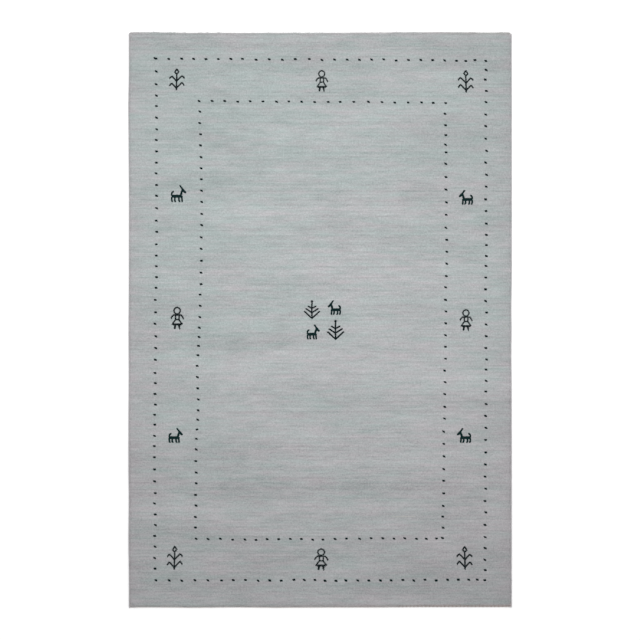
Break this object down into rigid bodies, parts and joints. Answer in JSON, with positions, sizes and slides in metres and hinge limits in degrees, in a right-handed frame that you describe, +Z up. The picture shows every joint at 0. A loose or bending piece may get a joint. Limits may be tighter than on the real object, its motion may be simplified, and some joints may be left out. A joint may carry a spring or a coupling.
{
  "type": "gabbeh rug",
  "caption": "Flat rectangular hand-loomed wool rug with short cut pile, woven ends and overcast long sides, for a floor.",
  "frame": {"origin": "middle of the rug's flat underside, on the floor", "axes": "+Y along the length, towards the upper end in the picture; +X across, to the right; +Z up out of the pile"},
  "size_m": [2.0023, 3.0041, 0.013],
  "materials": {
    "pile": "matt cut wool pile in a pale grey with a green-blue cast, streaked row by row, with very dark green-blue knots as dots and figures",
    "overcast_cord": "matt wool yarn wrapped side by side round the edge, warm grey"
  },
  "bodies": {
    "root": {"rug_body": "pile", "selvedge_left": "overcast_cord", "selvedge_right": "overcast_cord"}
  },
  "joints": []
}
